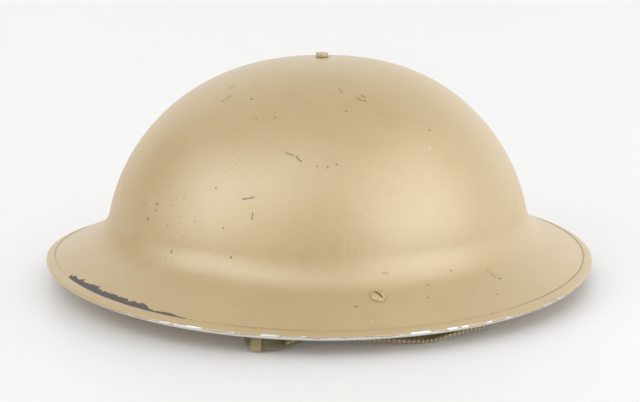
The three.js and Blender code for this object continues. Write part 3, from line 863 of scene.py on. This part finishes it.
LUG_WALL = 0.00925  # from the screw to the middle of the lug's upright wall
BAR_TOP, BAR_BOTTOM = -0.0093, -0.0119
BAR_GAP, PLY_GAP = 0.0005, 0.0003  # from bar to strap, and between the strap and its tail
TAIL_START, TAIL_END = LUG_WALL + 0.0075, LUG_WALL + 0.013  # where the strap and its tail lie side by side
BAR_STEPS = 6


def round_the_bar(side):
    """The strap's way round a lug's bar, from the end of its tail to where it leaves the lug."""
    place = HELMET @ lug_frame(side)
    across = (place.to_3x3() @ Vector((0, 1, 0))).normalized()
    middle = (BAR_TOP + BAR_BOTTOM) / 2
    turn = (BAR_TOP - BAR_BOTTOM) / 2 + BAR_GAP + WEBBING / 2
    main = middle + turn
    tail = main - WEBBING - PLY_GAP
    points = [(TAIL_END, tail), (TAIL_START, tail), (LUG_WALL + 0.004, middle - 0.6 * turn)]
    for step in range(BAR_STEPS + 1):
        angle = -pi / 2 - pi * step / BAR_STEPS
        points.append((LUG_WALL + turn * cos(angle), middle + turn * sin(angle)))
    points += [(TAIL_START, main), (TAIL_END, main)]
    return [(place @ Vector((x, 0, z)), across.copy(), None) for x, z in points]


def smooth_along(stations, step):
    """Stations every step metres, on a smooth line through the given ones, with faces that never flip."""
    middles, acrosses, offs = [], [], []
    for index, (middle, across, off) in enumerate(stations):
        if acrosses and across.dot(acrosses[-1]) < 0:
            across = -across
        before = stations[max(index - 1, 0)][0]
        after = stations[min(index + 1, len(stations) - 1)][0]
        level = (after - before).cross(across).normalized()
        if off is not None:
            level = off if level.dot(off) > 0 else -off
        middles.append(middle)
        acrosses.append(across.normalized())
        offs.append(level)
    result = []
    for index in range(len(middles) - 1):
        count = max(1, round((middles[index + 1] - middles[index]).length / step))
        for part in range(count):
            row = index + part / count
            result.append(
                (
                    through(middles, row, even=False),
                    through(acrosses, row, even=True).normalized(),
                    through(offs, row, even=True).normalized(),
                )
            )
    result.append((middles[-1], acrosses[-1], offs[-1]))
    return result


EDGE_ROUND = 0.35  # how far in from its edge a strap starts to round, as a share of its thickness
STEPS_PER_RIB = 6


def flat_section(width, thickness, ribs=0, rib_height=0.0):
    """A strap's section as points across and off its middle, going round it, with or without ribs."""
    flat = width - 2 * EDGE_ROUND * thickness
    steps = max(10, ribs * STEPS_PER_RIB)
    points = []
    for face in (1, -1):
        for step in range(steps + 1):
            share = step / steps
            across = (share - 0.5) * flat * face
            swell = rib_height * (cos(tau * ribs * share) - 1) / 2 if ribs else 0.0
            points.append((across, (thickness / 2 + swell) * face))
        for step in (1, 2, 3):
            angle = pi / 2 - pi * step / 4
            edge = flat / 2 + EDGE_ROUND * thickness * cos(angle)
            points.append((edge * face, thickness / 2 * sin(angle) * face))
    return points


def strap_piece(stations, section, step):
    """A drum drawn out along the stations. The UV map gives metres along and across the strap."""
    stations = smooth_along(stations, step)
    rows, sides = len(stations), len(section)
    mesh = drum(rows, sides)
    chart = mesh.loops.layers.uv.new("along_and_across")
    lengths = [0.0]
    for (a, _, _), (b, _, _) in zip(stations, stations[1:]):
        lengths.append(lengths[-1] + (b - a).length)

    def step_of(vert):
        return round(atan2(vert.co.y, vert.co.x) / tau * sides) % sides

    for face in mesh.faces:
        for loop in face.loops:
            loop[chart].uv = (lengths[round(loop.vert.co.z)], section[step_of(loop.vert)][0])
    for vert in mesh.verts:
        middle, across, off = stations[round(vert.co.z)]
        a, o = section[step_of(vert)]
        vert.co = middle + across * a + off * o
    return mesh


def close_ends(mesh):
    """A face over each open end."""
    ends = [edge for edge in mesh.edges if edge.is_boundary]
    bmesh.ops.holes_fill(mesh, edges=ends, sides=0)


def weave(tree, chart, along_pitch, across_pitch):
    """Threads crossing over and under, 0 in the hollows and 1 on the crowns."""
    parts = parts_of(tree, chart)
    along = reckon(tree, "SINE", times(tree, parts[0], tau / along_pitch))
    across = reckon(tree, "SINE", times(tree, parts[1], tau / across_pitch))
    crossing = times(tree, along, across)
    return reckon(tree, "MULTIPLY_ADD", crossing, 0.5, 0.5)


def cloth(name, dark, light, soiled, along_pitch, across_pitch, height):
    """A woven finish: threads with painted shade in their hollows and painted light on their crowns, uneven
    dye and grime.
    """
    material, tree = blank_material(name)
    place = wire(tree, "TexCoord", output="Object")
    chart = wire(tree, "UVMap", uv_map="along_and_across")
    threads = weave(tree, chart, along_pitch, across_pitch)
    fuzz = cloud(tree, place, 0.0006, detail=2)
    # the dark colour in the weave's hollows is painted shade, and the light one on its crowns is painted
    # light
    colour = tint(tree, threads, dark, light)
    patches = ramp(tree, cloud(tree, place, 0.012, detail=3), 0.4, 0.7)
    colour = tint(tree, times(tree, patches, 0.5), colour, soiled)
    colour = tint(tree, times(tree, fuzz, 0.25), colour, dark)
    relief = reckon(tree, "ADD", threads, times(tree, fuzz, 0.5))
    bump = wire(tree, "Bump", {"Height": relief, "Distance": height})
    inputs = {
        "Base Color": colour,
        "Roughness": 0.9,
        "Normal": bump,
        "Sheen Weight": 0.15,
        "Sheen Roughness": 0.5,
    }
    surface = wire(tree, "BsdfPrincipled", inputs)
    wire(tree, "OutputMaterial", {"Surface": surface})
    return material


olive = cloth(
    "olive_webbing",
    dark=(0.17, 0.145, 0.07, 1),
    light=(0.33, 0.285, 0.165, 1),
    soiled=(0.2, 0.155, 0.08, 1),
    along_pitch=0.0012,
    across_pitch=0.0010,
    height=0.0002,
)
pale_olive = cloth(
    "faded_webbing",
    dark=(0.30, 0.245, 0.125, 1),
    light=(0.52, 0.43, 0.25, 1),
    soiled=(0.36, 0.25, 0.13, 1),
    along_pitch=0.0011,
    across_pitch=0.0010,
    height=0.0002,
)
ochre = cloth(
    "ochre_elastic",
    dark=(0.2, 0.155, 0.08, 1),
    light=(0.68, 0.56, 0.33, 1),
    soiled=(0.4, 0.31, 0.17, 1),
    along_pitch=0.0023,
    across_pitch=0.0022,
    height=0.0006,
)

webbing_section = flat_section(STRAP_WIDTH, WEBBING)
left_tab = round_the_bar(-1) + route_part(0, SEWN_LEFT[1], WEBBING)
right_tab = route_part(SEWN_RIGHT[0], LAST_ROW, WEBBING) + round_the_bar(1)[::-1]
for name, stations in (("left", left_tab), ("right", right_tab)):
    tab_mesh = strap_piece(stations, webbing_section, 0.001)
    close_ends(tab_mesh)
    tab = finish_mesh(tab_mesh, f"webbing_tab_{name}")
    seat(tab, "olive_webbing", f"strap_tab_{name}")
    tab.data.materials.append(olive)

BESIDE = ELASTIC + 0.0006  # from the middle of the webbing to the middle of the elastic at a seam
CROSSING_START, CROSSING_END = 0.2, 1.4  # rows past a seam over which the elastic comes back to the route


def smooth_step(value, low, high):
    """0 below low, 1 above high, and a soft step between them."""
    share = min(max((value - low) / (high - low), 0), 1)
    return share * share * (3 - 2 * share)


def elastic_offset(row):
    """Where they are sewn, the elastic runs behind the left webbing and over the right one."""
    out_of_left = smooth_step(row, SEWN_LEFT[1] + CROSSING_START, SEWN_LEFT[1] + CROSSING_END)
    on_to_right = smooth_step(row, SEWN_RIGHT[0] - CROSSING_END, SEWN_RIGHT[0] - CROSSING_START)
    return BESIDE * (out_of_left - 1 + on_to_right)


RIBS, RIB_HEIGHT = 8, 0.00025
elastic_stations = route_part(SEWN_LEFT[0], SEWN_RIGHT[1], ELASTIC, elastic_offset)
elastic_section = flat_section(STRAP_WIDTH, ELASTIC, RIBS, RIB_HEIGHT)
elastic_mesh = strap_piece(elastic_stations, elastic_section, 0.0007)
close_ends(elastic_mesh)
elastic = finish_mesh(elastic_mesh, "woven_elastic")
seat(elastic, "ochre_elastic", "strap_elastic")
elastic.data.materials.append(ochre)

keeper_stations = route_part(*KEPT, WEBBING)
keeper_outer = KEEPER_CLEARANCE + KEEPER_WALL
keeper_section = flat_section(STRAP_WIDTH + 2 * keeper_outer, WEBBING + 2 * keeper_outer)
keeper_mesh = strap_piece(keeper_stations, keeper_section, 0.0006)
keeper = finish_mesh(keeper_mesh, "webbing_keeper")
hollow = keeper.modifiers.new("keeper_wall", "SOLIDIFY")
hollow.thickness = KEEPER_WALL
hollow.offset = -1
seat(keeper, "olive_webbing", "strap_keeper")
keeper.data.materials.append(pale_olive)


# ---- Table, light and camera ----------------------------------------------
# The helmet stands on a smooth white table in a white room, lit softly from
# the left and the right. A weak lamp low on the right adds no reflection, and
# two sheen lamps add nothing but the broad soft reflections on the bowl.

floor_mesh = bmesh.new()
bmesh.ops.create_grid(floor_mesh, x_segments=1, y_segments=1, size=8)
floor = finish_mesh(floor_mesh, "table")
material, tree = blank_material("white_table_painted_glow")
place = wire(tree, "TexCoord", output="Object")
away = wire(tree, "VectorMath", {0: place}, output=1, operation="LENGTH")
inputs = {
    "Base Color": (0.91, 0.905, 0.90, 1),
    "Roughness": 0.45,
    "Specular IOR Level": 0.3,
    "Emission Color": (1, 1, 1, 1),
    # painted light: the table glows faintly, more the farther from the helmet, brightening its far part and
    # the shadow round the helmet
    "Emission Strength": spread(tree, away, 0.3, 2.0, 0.068, 0.135),
}
surface = wire(tree, "BsdfPrincipled", inputs)
wire(tree, "OutputMaterial", {"Surface": surface})
floor.data.materials.append(material)

room = bpy.data.worlds.new("white_room")
bpy.context.scene.world = room
room.use_nodes = True
tree = room.node_tree
tree.nodes.clear()
way = wire(tree, "TexCoord", output="Generated")
level = spread(tree, parts_of(tree, way)[2], 0.0, 0.9, 0.7, 0.53)
# Patches of the room's walls: degrees round from the front and up, degrees of reach, and how much brighter.
PATCHES = [
    (-20, 5, 40, -0.2),
    (-122, 15, 42, -0.55),
    (112, 8, 45, 0.3),
    (165, 10, 75, 0.5),
    (-28, 56, 26, 1.5),
]


def direction(azimuth, elevation):
    """Which way a thing is, so many degrees round from the front and so many up."""
    a, e = radians(azimuth), radians(elevation)
    return Vector((sin(a) * cos(e), -cos(a) * cos(e), sin(e)))


def glow(azimuth, elevation, reach, amount):
    """A broad patch of the room, brighter or dimmer than the rest by this amount at its middle."""
    centre = direction(azimuth, elevation)
    nearness = wire(tree, "VectorMath", {0: way, 1: centre}, output=1, operation="DOT_PRODUCT")
    return times(tree, ramp(tree, nearness, cos(radians(reach)), 1.0), amount)


for patch in PATCHES:
    level = reckon(tree, "ADD", level, glow(*patch))
background = wire(tree, "Background", {"Color": (1, 1, 1, 1), "Strength": level})
wire(tree, "OutputWorld", {"Surface": background})


LAMP_DISTANCE = 1.6


def softbox(name, azimuth, elevation, width, height, power):
    """A soft light with a flat white front, aimed at the helmet from this direction."""
    light = bpy.data.lights.new(name, "AREA")
    light.shape = "RECTANGLE"
    light.size, light.size_y = width, height
    light.energy = power
    lamp = bpy.data.objects.new(name, light)
    lamp.location = direction(azimuth, elevation) * LAMP_DISTANCE
    lamp.rotation_euler = lamp.location.to_track_quat("Z", "Y").to_euler()
    bpy.context.scene.collection.objects.link(lamp)
    return lamp


softbox("softbox_left", -84, 32, 1.4, 1.2, 6.7)
softbox("softbox_right", 36, 18, 1.6, 0.9, 4.7)
low_right = softbox("softbox_low_right", 80, 9, 1.3, 0.45, 4)
low_right.visible_glossy = False
left_sheen = softbox("softbox_left_sheen", -62, 36, 1.3, 1.1, 5)
right_sheen = softbox("softbox_right_sheen", 44, 34, 1.7, 1.3, 11.5)
for sheen in (left_sheen, right_sheen):
    sheen.visible_diffuse = False

camera_data = bpy.data.cameras.new("camera")
camera_data.lens = 73.66
camera_data.sensor_width = 36
camera = bpy.data.objects.new("camera", camera_data)
camera.location = (-0.1861, -0.6946, 0.2217)
aim = Vector((0.0027, 0.0078, 0.0362))
camera.rotation_euler = (aim - camera.location).to_track_quat("-Z", "Y").to_euler()
bpy.context.scene.collection.objects.link(camera)
bpy.context.scene.camera = camera
bpy.context.scene.view_settings.view_transform = "Standard"
